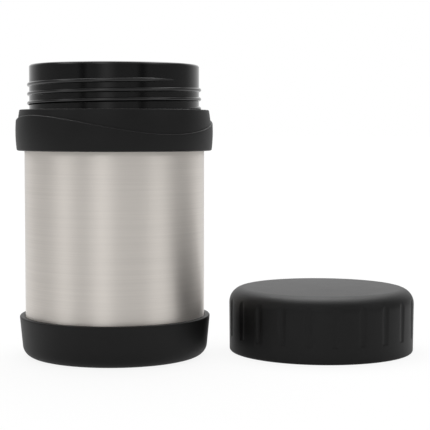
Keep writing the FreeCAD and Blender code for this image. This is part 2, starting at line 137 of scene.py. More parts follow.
def rounded(corners, steps=8):
    """Points of a closed outline of (radius, height, rounding) corners."""
    points = []
    count = len(corners)
    for index, (across, up, rounding) in enumerate(corners):
        corner = Vector((across, up))
        if rounding == 0.0:
            points.append(corner)
            continue
        back = (Vector(corners[index - 1][:2]) - corner).normalized()
        ahead = (Vector(corners[(index + 1) % count][:2]) - corner).normalized()
        half = back.angle(ahead) / 2.0
        centre = corner + (back + ahead).normalized() * (rounding / math.sin(half))
        first = corner + back * (rounding / math.tan(half)) - centre
        last = corner + ahead * (rounding / math.tan(half)) - centre
        sweep = first.angle(last)
        for step in range(steps + 1):
            share = step / steps
            lean = first * math.sin((1.0 - share) * sweep) + last * math.sin(share * sweep)
            points.append(centre + lean / math.sin(sweep))
    return points


def divided(points, longest):
    """The same closed outline, with no run longer than the given length."""
    result = []
    for index, point in enumerate(points):
        following = points[(index + 1) % len(points)]
        parts = max(1, math.ceil((following - point).length / longest))
        result += [point.lerp(following, part / parts) for part in range(parts)]
    return result


def linked(name, data):
    """A new object that holds the data, in the scene."""
    item = bpy.data.objects.new(name, data)
    bpy.context.scene.collection.objects.link(item)
    return item


def face_outwards(mesh):
    """Merge the points that meet, and turn every face outwards."""
    shape = bmesh.new()
    shape.from_mesh(mesh)
    bmesh.ops.remove_doubles(shape, verts=shape.verts, dist=TOUCHING)
    bmesh.ops.recalc_face_normals(shape, faces=shape.faces)
    shape.to_mesh(mesh)
    shape.free()


def turned(name, outline, columns=192, centre=JAR_AXIS, start=0.0, marks=None):
    """A closed wall made by turning a closed outline about an upright axis.

    marks gives named numbers for each outline point, kept on the mesh as attributes.
    """
    rows = len(outline)
    vertices = []
    for column in range(columns):
        angle = start + math.tau * column / columns
        ray = Vector((math.cos(angle), math.sin(angle), 0.0))
        vertices += [centre + ray * point[0] + Vector((0, 0, point[1])) for point in outline]
    faces = []
    for column in range(columns):
        here = column * rows
        there = (column + 1) % columns * rows
        for row in range(rows):
            up = (row + 1) % rows
            faces.append((here + row, there + row, there + up, here + up))
    mesh = bpy.data.meshes.new(name)
    mesh.from_pydata(vertices, [], faces)
    for mark, numbers in (marks or {}).items():
        attribute = mesh.attributes.new(mark, "FLOAT", "POINT")
        attribute.data.foreach_set("value", list(numbers) * columns)
    face_outwards(mesh)
    return linked(name, mesh)


# Node trees that shape what follows a rule

def shape_tree(name, sizes):
    """A new geometry tree with named inputs, and a Field for each of them."""
    tree = bpy.data.node_groups.new(name, "GeometryNodeTree")
    tree.interface.new_socket("Geometry", in_out="INPUT", socket_type="NodeSocketGeometry")
    tree.interface.new_socket("Geometry", in_out="OUTPUT", socket_type="NodeSocketGeometry")
    for label in sizes:
        tree.interface.new_socket(label, in_out="INPUT", socket_type="NodeSocketFloat")
    tree.interface.new_socket("Finish", in_out="INPUT", socket_type="NodeSocketMaterial")
    entry = tree.nodes.new("NodeGroupInput")
    fields = {label: Field(tree, entry.outputs[label]) for label in sizes}
    return tree, entry, fields


def place_fields(tree):
    """The x, y and z of each point."""
    position = tree.nodes.new("GeometryNodeInputPosition")
    parts = tree.nodes.new("ShaderNodeSeparateXYZ")
    tree.links.new(position.outputs[0], parts.inputs[0])
    return [Field(tree, socket) for socket in parts.outputs]


def set_place(tree, geometry, x, y, z):
    """Move each point to a worked-out place."""
    joined = tree.nodes.new("ShaderNodeCombineXYZ")
    for slot, item in enumerate((x, y, z)):
        tree.links.new(item.socket, joined.inputs[slot])
    move = tree.nodes.new("GeometryNodeSetPosition")
    tree.links.new(geometry, move.inputs["Geometry"])
    tree.links.new(joined.outputs[0], move.inputs["Position"])
    return move.outputs["Geometry"]


def end_tree(tree, entry, geometry):
    """Realize what is instanced, give it its finish and hand it out."""
    realize = tree.nodes.new("GeometryNodeRealizeInstances")
    finish = tree.nodes.new("GeometryNodeSetMaterial")
    leave = tree.nodes.new("NodeGroupOutput")
    tree.links.new(geometry, realize.inputs["Geometry"])
    tree.links.new(realize.outputs["Geometry"], finish.inputs["Geometry"])
    tree.links.new(entry.outputs["Finish"], finish.inputs["Material"])
    tree.links.new(finish.outputs["Geometry"], leave.inputs["Geometry"])


def run_tree(piece, tree, sizes, finish):
    """Run a geometry tree on a piece and keep the result as its plain mesh."""
    modifier = piece.modifiers.new("shape", "NODES")
    modifier.node_group = tree
    values = {**sizes, "Finish": finish}
    for item in tree.interface.items_tree:
        if item.in_out == "INPUT" and item.name in values:
            modifier[item.identifier] = values[item.name]
    evaluated = piece.evaluated_get(bpy.context.evaluated_depsgraph_get())
    shaped = bpy.data.meshes.new_from_object(evaluated)
    piece.modifiers.remove(modifier)
    piece.data = shaped


def flute_tree(sizes):
    """Presses upright flutes, each ending on a small ledge, into a round grip's skin."""
    tree, entry, size = shape_tree("grip_flutes", sizes)
    x, y, z = place_fields(tree)
    across = x - size["Axis x"]
    along = y - size["Axis y"]
    radius = (across * across + along * along).apply("SQRT")
    angle = along.apply("ARCTAN2", across)
    pitch = size["Flute pitch"]
    off_middle = (angle - size["Turn"]).apply("WRAP", pitch * 0.5, pitch * -0.5) * radius
    ledge = (size["Lower end"] - z).apply("MAXIMUM", 0.0) * size["Ledge slope"]
    cutter = size["Width"] * size["Width"] / (size["Depth"] * 8.0)
    bowl = off_middle * off_middle / (cutter * 2.0)
    limit = size["Grip radius"] - size["Depth"] + bowl + ledge
    pressed = radius.apply("SMOOTH_MIN", limit, size["Edge softness"])
    outside = radius.apply("GREATER_THAN", size["Bore"])
    reach = radius + (pressed - radius) * outside
    divisor = radius.apply("MAXIMUM", TOUCHING)
    place = set_place(
        tree, entry.outputs["Geometry"],
        size["Axis x"] + across * reach / divisor,
        size["Axis y"] + along * reach / divisor,
        z,
    )
    end_tree(tree, entry, place)
    return tree


def wave_tree(sizes):
    """Carries a turned collar's rows up and down along a wave, and crowns them there."""
    tree, entry, size = shape_tree("collar_wave", sizes)
    x, y, z = place_fields(tree)
    marks = []
    for mark in ("follow", "raised"):
        node = tree.nodes.new("GeometryNodeInputNamedAttribute")
        node.inputs["Name"].default_value = mark
        marks.append(Field(tree, node.outputs["Attribute"]))
    follow, raised = marks
    radius = (x * x + y * y).apply("SQRT")
    angle = y.apply("ARCTAN2", x)
    wave = ((angle - size["Crest angle"]) * size["Waves"]).apply("COSINE") * size["Height"]
    height = z + wave * follow
    from_band = height - size["Band middle"]
    from_upper = height - size["Upper middle"]
    band = size["Band radius"] - from_band * from_band / size["Band crown"]
    upper = size["Upper radius"] - from_upper * from_upper / size["Upper crown"]
    skin = upper + (band - upper) * raised
    moves = follow.apply("GREATER_THAN", 0.0)
    change = (radius + (skin - radius) * moves) / radius
    end_tree(tree, entry, set_place(
        tree, entry.outputs["Geometry"], x * change, y * change, height
    ))
    return tree


def ridge_tree(sizes):
    """A screw thread's ridge: a helix that swells from almost nothing and fades out again."""
    stations = 720
    section_points = 20
    thinnest = 0.03
    tree, entry, size = shape_tree("thread_ridge", sizes)
    line = tree.nodes.new("GeometryNodeMeshLine")
    line.inputs["Count"].default_value = stations
    index = tree.nodes.new("GeometryNodeInputIndex")
    share = Field(tree, index.outputs[0]) / (stations - 1)
    angle = size["Start"] + (size["End"] - size["Start"]) * share
    height = size["Level"] + size["Pitch"] * angle / math.tau
    path = set_place(
        tree, line.outputs["Mesh"],
        size["Axis x"] + angle.apply("COSINE") * size["Path radius"],
        size["Axis y"] + angle.apply("SINE") * size["Path radius"],
        height,
    )
    from_end = (angle - size["Start"]).apply("MINIMUM", size["End"] - angle)
    swell = from_end.blend(0.0, size["Fade"]) * (1.0 - thinnest) + thinnest
    curve = tree.nodes.new("GeometryNodeMeshToCurve")
    tree.links.new(path, curve.inputs["Mesh"])
    upright = tree.nodes.new("GeometryNodeSetCurveNormal")
    upright.mode = "Z_UP"
    tree.links.new(curve.outputs["Curve"], upright.inputs["Curve"])
    profile = tree.nodes.new("GeometryNodeCurvePrimitiveCircle")
    profile.inputs["Resolution"].default_value = section_points
    profile.inputs["Radius"].default_value = 1.0
    stretch = tree.nodes.new("GeometryNodeTransform")
    scale = tree.nodes.new("ShaderNodeCombineXYZ")
    tree.links.new(size["Reach"].socket, scale.inputs[0])
    tree.links.new((size["Width"] * 0.5).socket, scale.inputs[1])
    scale.inputs[2].default_value = 1.0
    tree.links.new(profile.outputs["Curve"], stretch.inputs["Geometry"])
    tree.links.new(scale.outputs[0], stretch.inputs["Scale"])
    sweep = tree.nodes.new("GeometryNodeCurveToMesh")
    sweep.inputs["Fill Caps"].default_value = True
    tree.links.new(upright.outputs["Curve"], sweep.inputs["Curve"])
    tree.links.new(stretch.outputs["Geometry"], sweep.inputs["Profile Curve"])
    tree.links.new(swell.socket, sweep.inputs["Scale"])
    end_tree(tree, entry, sweep.outputs["Mesh"])
    return tree


# Finishes

class Finish:
    """A new material, with its principled shader and the piece's own coordinates."""

    def __init__(self, name):
        self.material = bpy.data.materials.new(name)
        self.material.use_nodes = True
        self.tree = self.material.node_tree
        self.shader = next(node for node in self.tree.nodes if node.type == "BSDF_PRINCIPLED")
        self.place = self.tree.nodes.new("ShaderNodeTexCoord").outputs["Object"]

    def grain(self, scale, detail=2.0, roughness=0.5):
        """Noise on stretched coordinates; scale is in cycles per metre along x, y and z."""
        mapping = self.tree.nodes.new("ShaderNodeMapping")
        mapping.inputs["Scale"].default_value = scale
        self.tree.links.new(self.place, mapping.inputs["Vector"])
        noise = self.tree.nodes.new("ShaderNodeTexNoise")
        noise.inputs["Scale"].default_value = 1.0
        noise.inputs["Detail"].default_value = detail
        noise.inputs["Roughness"].default_value = roughness
        self.tree.links.new(mapping.outputs["Vector"], noise.inputs["Vector"])
        return Field(self.tree, noise.outputs["Fac"])

    def even_grain(self, scale, detail=2.0, roughness=0.5):
        """Noise of the same scale every way."""
        return self.grain((scale, scale, scale), detail, roughness)

    def cells(self, scale):
        """Cells of a scale in cycles per metre: 0 in the middle of each, more at its edges."""
        cells = self.tree.nodes.new("ShaderNodeTexVoronoi")
        cells.inputs["Scale"].default_value = scale
        self.tree.links.new(self.place, cells.inputs["Vector"])
        return Field(self.tree, cells.outputs["Distance"])

    def colour(self, share, low, high):
        """The low colour where the share is 0, and the high one where it is 1."""
        mix = self.tree.nodes.new("ShaderNodeMix")
        mix.data_type = "RGBA"
        self.tree.links.new(share.socket, mix.inputs["Factor"])
        mix.inputs["A"].default_value = (*low, 1.0)
        mix.inputs["B"].default_value = (*high, 1.0)
        self.tree.links.new(mix.outputs["Result"], self.shader.inputs["Base Color"])

    def roughness(self, rough):
        """Let a field say how rough the surface is."""
        self.tree.links.new(rough.socket, self.shader.inputs["Roughness"])

    def relief(self, height, depth, strength):
        """A bump of the given depth in metres."""
        node = self.tree.nodes.new("ShaderNodeBump")
        node.inputs["Distance"].default_value = depth
        node.inputs["Strength"].default_value = strength
        self.tree.links.new(height.socket, node.inputs["Height"])
        self.tree.links.new(node.outputs["Normal"], self.shader.inputs["Normal"])

    def fix(self, socket, value):
        """Set a socket of the shader to a plain value."""
        self.shader.inputs[socket].default_value = value

    def brush_round(self, rotation, amount):
        """Stretch the reflections as brushing round the upright axis does."""
        self.fix("Anisotropic", amount)
        self.fix("Anisotropic Rotation", rotation)
        tangent = self.tree.nodes.new("ShaderNodeTangent")
        tangent.direction_type = "RADIAL"
        tangent.axis = "Z"
        self.tree.links.new(tangent.outputs["Tangent"], self.shader.inputs["Tangent"])


def brushed_steel():
    """Steel brushed round the body: fine level lines, in a few widths."""
    finish = Finish("brushed_steel")
    fine = finish.grain((25.0, 25.0, 4200.0), detail=3.0, roughness=0.65)
    broad = finish.grain((9.0, 9.0, 900.0))
    cloud = finish.grain((22.0, 22.0, 30.0))
    tone = (fine * 0.5 + broad * 0.25 + cloud * 0.25).blend(0.3, 0.7)
    finish.colour(tone, low=(0.84, 0.794, 0.743), high=(0.92, 0.873, 0.820))
    finish.roughness(fine * 0.08 + cloud * 0.04 + 0.46)
    finish.fix("Metallic", 1.0)
    finish.brush_round(rotation=0.25, amount=0.9)
    finish.relief(fine, depth=0.01 * MM, strength=0.4)
    return finish.material


def satin_steel():
    """Drawn steel inside the jar: soft lines round the wall and a duller bloom."""
    finish = Finish("satin_steel")
    lines = finish.grain((14.0, 14.0, 2600.0))
    bloom = finish.even_grain(60.0, detail=3.0)
    finish.colour(bloom.blend(0.3, 0.7), low=(0.46, 0.45, 0.435), high=(0.57, 0.56, 0.545))
    finish.roughness(lines * 0.12 + bloom * 0.1 + 0.26)
    finish.fix("Metallic", 1.0)
    finish.relief(lines, depth=0.02 * MM, strength=0.4)
    return finish.material


def polished_black():
    """Glossy moulded plastic: deep black, with the faint ripple of a moulded skin."""
    finish = Finish("polished_black")
    ripple = finish.grain((90.0, 90.0, 60.0), detail=1.0)
    haze = finish.even_grain(800.0, detail=3.0)
    finish.colour(ripple, low=(0.0016, 0.0016, 0.0017), high=(0.0024, 0.0024, 0.0025))
    finish.roughness(haze * 0.05 + 0.06)
    finish.relief(ripple, depth=0.10 * MM, strength=0.25)
    return finish.material


def matte_black():
    """Matte moulded plastic: a fine spark-eroded grain over a faint mottle."""
    finish = Finish("matte_black")
    texture = finish.even_grain(2600.0, roughness=0.6)
    mottle = finish.even_grain(120.0, detail=3.0)
    tone = (texture * 0.4 + mottle * 0.6).blend(0.3, 0.7)
    finish.colour(tone, low=(0.0020, 0.0020, 0.0021), high=(0.0036, 0.0036, 0.0037))
    finish.roughness(texture * 0.10 + mottle * 0.06 + 0.42)
    finish.fix("Specular IOR Level", 0.27)
    finish.relief(texture, depth=0.04 * MM, strength=0.5)
    return finish.material


def smooth_black():
    """Plain moulded plastic of the lid's inner cap, with faint turning lines."""
    finish = Finish("smooth_black")
    lines = finish.grain((60.0, 60.0, 900.0))
    mottle = finish.even_grain(150.0)
    finish.colour(mottle, low=(0.014, 0.014, 0.0145), high=(0.021, 0.021, 0.022))
    finish.roughness(lines * 0.1 + mottle * 0.1 + 0.27)
    finish.relief(lines, depth=0.02 * MM, strength=0.4)
    return finish.material


def silicone():
    """Soft grey silicone, slightly milky, with a dusty matte skin."""
    finish = Finish("silicone")
    dust = finish.even_grain(700.0, detail=4.0)
    finish.colour(dust.blend(0.35, 0.7), low=(0.40, 0.40, 0.39), high=(0.50, 0.50, 0.485))
    finish.roughness(dust * 0.15 + 0.42)
    finish.fix("Subsurface Weight", 0.15)
    finish.fix("Subsurface Radius", (2.0 * MM, 2.0 * MM, 1.8 * MM))
    finish.relief(dust, depth=0.03 * MM, strength=0.4)
    return finish.material


def foil():
    """Thin bright foil with fine creases."""
    finish = Finish("foil")
    crease = finish.cells(160.0)
    finish.colour(crease, low=(0.80, 0.80, 0.80), high=(0.66, 0.66, 0.67))
    finish.roughness(crease * 0.2 + 0.12)
    finish.fix("Metallic", 1.0)
    finish.relief(crease, depth=0.15 * MM, strength=0.6)
    return finish.material


def foam():
    """Closed-cell foam: pale, with small open skins."""
    finish = Finish("foam")
    cell = finish.cells(900.0)
    finish.colour(cell, low=(0.62, 0.59, 0.50), high=(0.80, 0.77, 0.68))
    finish.roughness(cell * 0.1 + 0.8)
    finish.relief(cell, depth=0.2 * MM, strength=0.7)
    return finish.material


def sintered_metal():
    """Dull pressed powder, dark and pitted."""
    finish = Finish("sintered_metal")
    pits = finish.even_grain(3000.0, detail=3.0)
    finish.colour(pits, low=(0.05, 0.05, 0.052), high=(0.14, 0.14, 0.145))
    finish.roughness(pits * 0.2 + 0.6)
    finish.fix("Metallic", 0.7)
    finish.relief(pits, depth=0.08 * MM, strength=0.8)
    return finish.material


def fused_glass():
    """Greenish solder glass with small seeds in it."""
    finish = Finish("fused_glass")
    seeds = finish.even_grain(1500.0)
    finish.colour(seeds, low=(0.16, 0.22, 0.18), high=(0.30, 0.36, 0.30))
    finish.roughness(seeds * 0.15 + 0.08)
    finish.fix("Transmission Weight", 0.3)
    return finish.material


FINISHES = {
    "brushed_steel": brushed_steel(),
    "inner_steel": satin_steel(),
    "seal_glass": fused_glass(),
    "getter_metal": sintered_metal(),
    "foil": foil(),
    "gloss_black": polished_black(),
    "matte_black": matte_black(),
    "inner_black": smooth_black(),
    "silicone": silicone(),
    "foam": foam(),
}


def settle(piece, body, slot, *nodes):
    """Finish a piece: its shading, material, body and the nodes it stands for."""
    crisp_from = math.radians(32)
    piece.data.shade_smooth()
    piece.data.set_sharp_from_angle(angle=crisp_from)
    piece.data.materials.clear()
    piece.data.materials.append(FINISHES[slot])
    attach(piece, body)
    if nodes:
        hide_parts(*nodes)


# Pieces of the jar

def make_wall():
    """The steel outer wall, necked in under the collar."""
    wide = STEEL_RADIUS
    narrow = STEEL_NECK_RADIUS
    shoulder_low = 98.0 * MM
    shoulder_high = 105.5 * MM
    bend = 3.0 * MM
    outline = rounded([
        (wide - SHEET, WALL_LOW.z, SHEET_EDGE),
        (wide, WALL_LOW.z, SHEET_EDGE),
        (wide, shoulder_low, bend + SHEET),
        (narrow, shoulder_high, bend),
        (narrow, WALL_HIGH.z, 0.0),
        (narrow - SHEET, WALL_HIGH.z, 0.0),
        (narrow - SHEET, shoulder_high, bend + SHEET),
        (wide - SHEET, shoulder_low, bend),
    ])
    piece = turned("steel_wall", divided(outline, RUN), columns=256)
    settle(piece, "jar", "brushed_steel", "outer_shell")


def make_liner():
    """The steel inner vessel, with its lip turned out over the wall's top."""
    wide = 37.0 * MM
    mouth = MOUTH_RADIUS
    shoulder = 97.0 * MM
    neck = 105.0 * MM
    foot_bend = 8.0 * MM
    bend = 3.0 * MM
    lip_bend = 0.4 * MM
    lip_low = LINER_HIGH.z - SHEET
    outline = rounded([
        (0.0, LINER_LOW.z, 0.0),
        (wide, LINER_LOW.z, foot_bend + SHEET),
        (wide, shoulder, bend),
        (mouth + SHEET, neck, bend),
        (mouth + SHEET, lip_low, 0.0),
        (STEEL_NECK_RADIUS, lip_low, 0.0),
        (STEEL_NECK_RADIUS, LINER_HIGH.z, SHEET_EDGE),
        (mouth, LINER_HIGH.z, lip_bend),
        (mouth, neck, bend),
        (wide - SHEET, shoulder, bend),
        (wide - SHEET, LINER_LOW.z + SHEET, foot_bend),
        (0.0, LINER_LOW.z + SHEET, 0.0),
    ])
    piece = turned("inner_vessel", divided(outline, RUN), columns=224)
    settle(piece, "jar", "inner_steel", "inner_liner")


def make_neck():
    """The neck ring's sleeve, hooked over the steel lip."""
    bore = STEEL_NECK_RADIUS + FIT
    lip_radius = 34.3 * MM
    lip = 1.86 * MM
    flange_radius = 41.4 * MM
    flange_high = 110.4 * MM
    step_radius = 39.4 * MM
    step_high = 111.6 * MM
    step_bend = 0.3 * MM
    rim_bend = 1.1 * MM
    lip_bend = 0.8 * MM
    sleeve_run = 1.5 * MM
    outline = rounded([
        (bore, NECK_LOW.z, 0.0),
        (flange_radius, NECK_LOW.z, EDGE),
        (flange_radius, flange_high, EDGE),
        (step_radius, flange_high, 0.0),
        (step_radius, step_high, step_bend),
        (NECK_RADIUS, step_high, step_bend),
        (NECK_RADIUS, NECK_HIGH.z, rim_bend),
        (lip_radius, NECK_HIGH.z, lip_bend),
        (lip_radius, NECK_HIGH.z - lip, 0.0),
        (bore, NECK_HIGH.z - lip, 0.0),
    ])
    piece = turned("neck_sleeve", divided(outline, sleeve_run), columns=256)
    settle(piece, "jar", "gloss_black", "neck_ring")


def make_ridge(name, body, slot, axis, radius, level, start, sweep):
    """One thread's ridge about an axis: level is its height where the angle is 0."""
    sizes = {
        "Axis x": axis.x,
        "Axis y": axis.y,
        "Path radius": radius,
        "Reach": THREAD_HEIGHT + THREAD_ROOT,
        "Width": THREAD_WIDTH,
        "Pitch": THREAD_PITCH,
        "Level": level,
        "Start": start,
        "End": start + sweep,
        "Fade": THREAD_FADE,
    }
    piece = linked(name, bpy.data.meshes.new(name))
    run_tree(piece, ridge_tree(sizes), sizes, FINISHES[slot])
    face_outwards(piece.data)
    settle(piece, body, slot)


def make_neck_thread():
    """The thread round the neck: three turns, right-handed."""
    make_ridge(
        "neck_thread", "jar", "gloss_black", JAR_AXIS, NECK_RADIUS - THREAD_ROOT,
        level=113.25 * MM, start=math.radians(-40), sweep=math.radians(1084),
    )


def collar_rows(sizes):
    """Rows of the collar's skin, from its foot up to its top edge.

    Each row is its radius, its height, how far it follows the wave, and how far it stands
    on the raised band below the step.
    """
    low = COLLAR_LOW.z
    high = COLLAR_HIGH.z
    level = 105.6 * MM
    step_low = level - 0.75 * MM
    step_high = level + 0.12 * MM
    foot_bend = 0.8 * MM
    top_bend = 0.5 * MM
    band_low = low + foot_bend
    upper_high = high - top_bend
    foot_rows = 8
    band_rows = 16
    step_rows = 10
    upper_rows = 10
    top_rows = 6

    def band(z):
        return sizes["Band radius"] - (z - sizes["Band middle"]) ** 2 / sizes["Band crown"]

    def upper(z):
        return sizes["Upper radius"] - (z - sizes["Upper middle"]) ** 2 / sizes["Upper crown"]

    rows = [(band(band_low) - foot_bend, low, 0.0, 0.0)]
    for row in range(1, foot_rows):
        bend = math.pi / 2 * row / foot_rows
        across = band(band_low) - foot_bend * (1 - math.sin(bend))
        rows.append((across, low + foot_bend * (1 - math.cos(bend)), 0.0, 0.0))
    for row in range(band_rows):
        share = row / band_rows
        z = band_low + (step_low - band_low) * share
        rows.append((band(z), z, share, 1.0))
    for row in range(step_rows + 1):
        share = row / step_rows
        z = step_low + (step_high - step_low) * math.sin(math.pi / 2 * share)
        raised = 1.0 - share ** 3
        rows.append((upper(z) + (band(z) - upper(z)) * raised, z, 1.0, raised))
    for row in range(1, upper_rows + 1):
        share = row / upper_rows
        z = step_high + (upper_high - step_high) * share
        rows.append((upper(z), z, 1.0 - share, 0.0))
    for row in range(1, top_rows + 1):
        bend = math.pi / 2 * row / top_rows
        across = upper(upper_high) - top_bend * (1 - math.cos(bend))
        rows.append((across, upper_high + top_bend * math.sin(bend), 0.0, 0.0))
    return rows


def make_collar():
    """The collar: a crowned skin with a step that follows a wave round the jar."""
    low = COLLAR_LOW.z
    bore = STEEL_RADIUS + FIT
    cavity = 42.15 * MM
    grip_high = low + 3.4 * MM
    under_top = 110.4 * MM
    hole = 39.5 * MM
    sizes = {
        "Waves": 2.0,
        "Crest angle": math.radians(-144),
        "Height": 4.15 * MM,
        "Band radius": 45.0 * MM,
        "Band middle": 102.5 * MM,
        "Band crown": 128.0 * MM,
        "Upper radius": 44.25 * MM,
        "Upper middle": 101.0 * MM,
        "Upper crown": 120.7 * MM,
    }
    inside = rounded([
        (hole, COLLAR_HIGH.z, EDGE),
        (hole, under_top, 0.0),
        (cavity, under_top, 0.0),
        (cavity, grip_high + cavity - bore, 0.0),
        (bore, grip_high, 0.0),
        (bore, low, EDGE),
    ])
    rows = collar_rows(sizes) + [(point[0], point[1], 0.0, 0.0) for point in inside]
    outline = [Vector(row[:2]) for row in rows]
    marks = {"follow": [row[2] for row in rows], "raised": [row[3] for row in rows]}
    piece = turned("collar_skin", outline, columns=320, marks=marks)
    run_tree(piece, wave_tree(sizes), sizes, FINISHES["matte_black"])
    settle(piece, "jar", "matte_black", "collar")


def make_cup():
    """The base cup, with a shallow groove in its underside."""
    rim = 43.7 * MM
    foot = 41.9 * MM
    bore = STEEL_RADIUS + FIT
    bevel = 0.45 * MM
    ledge = 36.0 * MM
    floor = 2.2 * MM
    groove_inner = 27.0 * MM
    groove_outer = 30.0 * MM
    groove = 0.8 * MM
    groove_edge = 0.3 * MM
    foot_bend = 5.5 * MM
    rim_bend = 0.7 * MM
    bevel_edge = 0.1 * MM
    outline = rounded([
        (0.0, 0.0, 0.0),
        (groove_inner, 0.0, groove_edge),
        (groove_inner, groove, EDGE),
        (groove_outer, groove, EDGE),
        (groove_outer, 0.0, groove_edge),
        (foot, 0.0, foot_bend),
        (rim, CUP_HIGH.z, rim_bend),
        (bore + bevel, CUP_HIGH.z, bevel_edge),
        (bore, CUP_HIGH.z - bevel, bevel_edge),
        (bore, WALL_LOW.z, 0.0),
        (ledge, WALL_LOW.z, 0.0),
        (ledge, floor, 0.0),
        (0.0, floor, 0.0),
    ])
    piece = turned("foot_cup", divided(outline, RUN), columns=224)
    settle(piece, "jar", "matte_black", "base_cup")


# Pieces of the lid

def make_lid_shell():
    """The lid's outer shell, with flutes pressed into its grip.

    Only the skin outside the bore gets the fine rows that the flutes need.
    """
    flutes = 22
    columns_each = 24
    rim = 43.0 * MM
    top = 43.3 * MM
    top_wall = 2.2 * MM
    top_bend = 7.0 * MM
    rim_bend = 1.2 * MM
    fine_run = 0.45 * MM
    bore_margin = 0.3 * MM
    ceiling = LID_HIGH.z - top_wall
    outline = rounded([
        (0.0, ceiling, 0.0),
        (LID_BORE, ceiling, top_bend - top_wall),
        (LID_BORE, 0.0, EDGE),
        (rim, 0.0, rim_bend),
        (top, LID_HIGH.z, top_bend),
        (0.0, LID_HIGH.z, 0.0),
    ], steps=10)
    skin = LID_BORE + SHEET
    rows = [
        point for point in divided(outline, fine_run) if point in outline or point.x > skin
    ]
    piece = turned(
        "lid_skin", rows, columns=flutes * columns_each, centre=LID_AXIS, start=LID_TURN
    )
    sizes = {
        "Axis x": LID_AXIS.x,
        "Axis y": LID_AXIS.y,
        "Turn": LID_TURN,
        "Flute pitch": math.tau / flutes,
        "Grip radius": top,
        "Bore": LID_BORE + bore_margin,
        "Depth": 0.6 * MM,
        "Width": 4.1 * MM,
        "Lower end": 7.9 * MM,
        "Ledge slope": 1.6,
        "Edge softness": 0.12 * MM,
    }
    run_tree(piece, flute_tree(sizes), sizes, FINISHES["matte_black"])
    settle(piece, "lid", "matte_black", "lid_shell")


def make_cap():
    """The lid's inner cap, whose plug carries the sealing ring above a snap bead."""
    outer = LID_BORE - FIT
    low = CAP_LOW.z
    ceiling = 22.4 * MM
    wall = 1.5 * MM
    plug_low = 12.0 * MM
    snap = 0.45 * MM
    snap_low = 18.9 * MM
    snap_high = 20.0 * MM
    plug_bend = 1.2 * MM
    snap_edge = 0.1 * MM
    corner = 0.4 * MM
    top_bend = 0.8 * MM
    outline = rounded([
        (0.0, plug_low, 0.0),
        (PLUG_RADIUS, plug_low, plug_bend),
        (PLUG_RADIUS, snap_low, 0.0),
        (PLUG_RADIUS + snap, snap_low + snap, snap_edge),
        (PLUG_RADIUS + snap, snap_high - snap / 2, snap_edge),
        (PLUG_RADIUS, snap_high, 0.0),
        (PLUG_RADIUS, ceiling, EDGE),
        (CAP_BORE, ceiling, corner),
        (CAP_BORE, low, corner),
        (outer, low, EDGE),
        (outer, CAP_HIGH.z, top_bend),
        (PLUG_RADIUS - wall, CAP_HIGH.z, EDGE),
        (PLUG_RADIUS - wall, plug_low + wall, corner),
        (0.0, plug_low + wall, 0.0),
    ])
    piece = turned("inner_cap", divided(outline, RUN), centre=LID_AXIS)
    settle(piece, "lid", "inner_black", "lid_liner")


def make_cap_thread():
    """The thread in the lid's inner cap, which meets the neck's."""
    start_level = 3.2 * MM
    make_ridge(
        "cap_thread", "lid", "inner_black", LID_AXIS, CAP_BORE + THREAD_ROOT,
        level=start_level - THREAD_PITCH * LID_TURN / math.tau,
        start=LID_TURN, sweep=math.radians(1060),
    )


def make_seal():
    """The silicone ring, with a rib that the jar's rim presses on."""
    plug_gap = 0.08 * MM
    cap_gap = 0.3 * MM
    inner = PLUG_RADIUS + plug_gap
    outer = CAP_BORE - cap_gap
    face = 20.4 * MM
    rib = 0.45 * MM
    rib_radius = 36.2 * MM
    rib_half = 0.5 * MM
    face_bend = 0.5 * MM
    back_bend = 0.3 * MM
    outline = rounded([
        (inner, face, EDGE),
        (rib_radius - rib_half - rib, face, EDGE),
        (rib_radius - rib_half, SEAL_LOW.z, EDGE),
        (rib_radius + rib_half, SEAL_LOW.z, EDGE),
        (rib_radius + rib_half + rib, face, EDGE),
        (outer, face, face_bend),
        (outer, SEAL_HIGH.z, back_bend),
        (inner, SEAL_HIGH.z, back_bend),
    ], steps=5)
    piece = turned("sealing_ring", divided(outline, RUN), centre=LID_AXIS)
    settle(piece, "lid_ring", "silicone", "lid_seal")


def dress_solids():
    """Every solid gets its finish; those that no piece replaces are shown with it."""
    slots = {item["node"]: item["material_slot"] for item in frame["record"]["subparts"]}
    for node, piece in frame["nodes"].items():
        piece.data.materials.clear()
        piece.data.materials.append(FINISHES[slots[node]])


# Stage

def ray_kinds(tree):
    """Two fields: 1 on the camera's own rays, and 1 on rays that gloss or glass sent on."""
    path = tree.nodes.new("ShaderNodeLightPath")
    camera_ray = Field(tree, path.outputs["Is Camera Ray"])
    glossy_ray = Field(tree, path.outputs["Is Glossy Ray"])
    passed_ray = Field(tree, path.outputs["Is Transmission Ray"])
    return camera_ray, glossy_ray.apply("MAXIMUM", passed_ray)


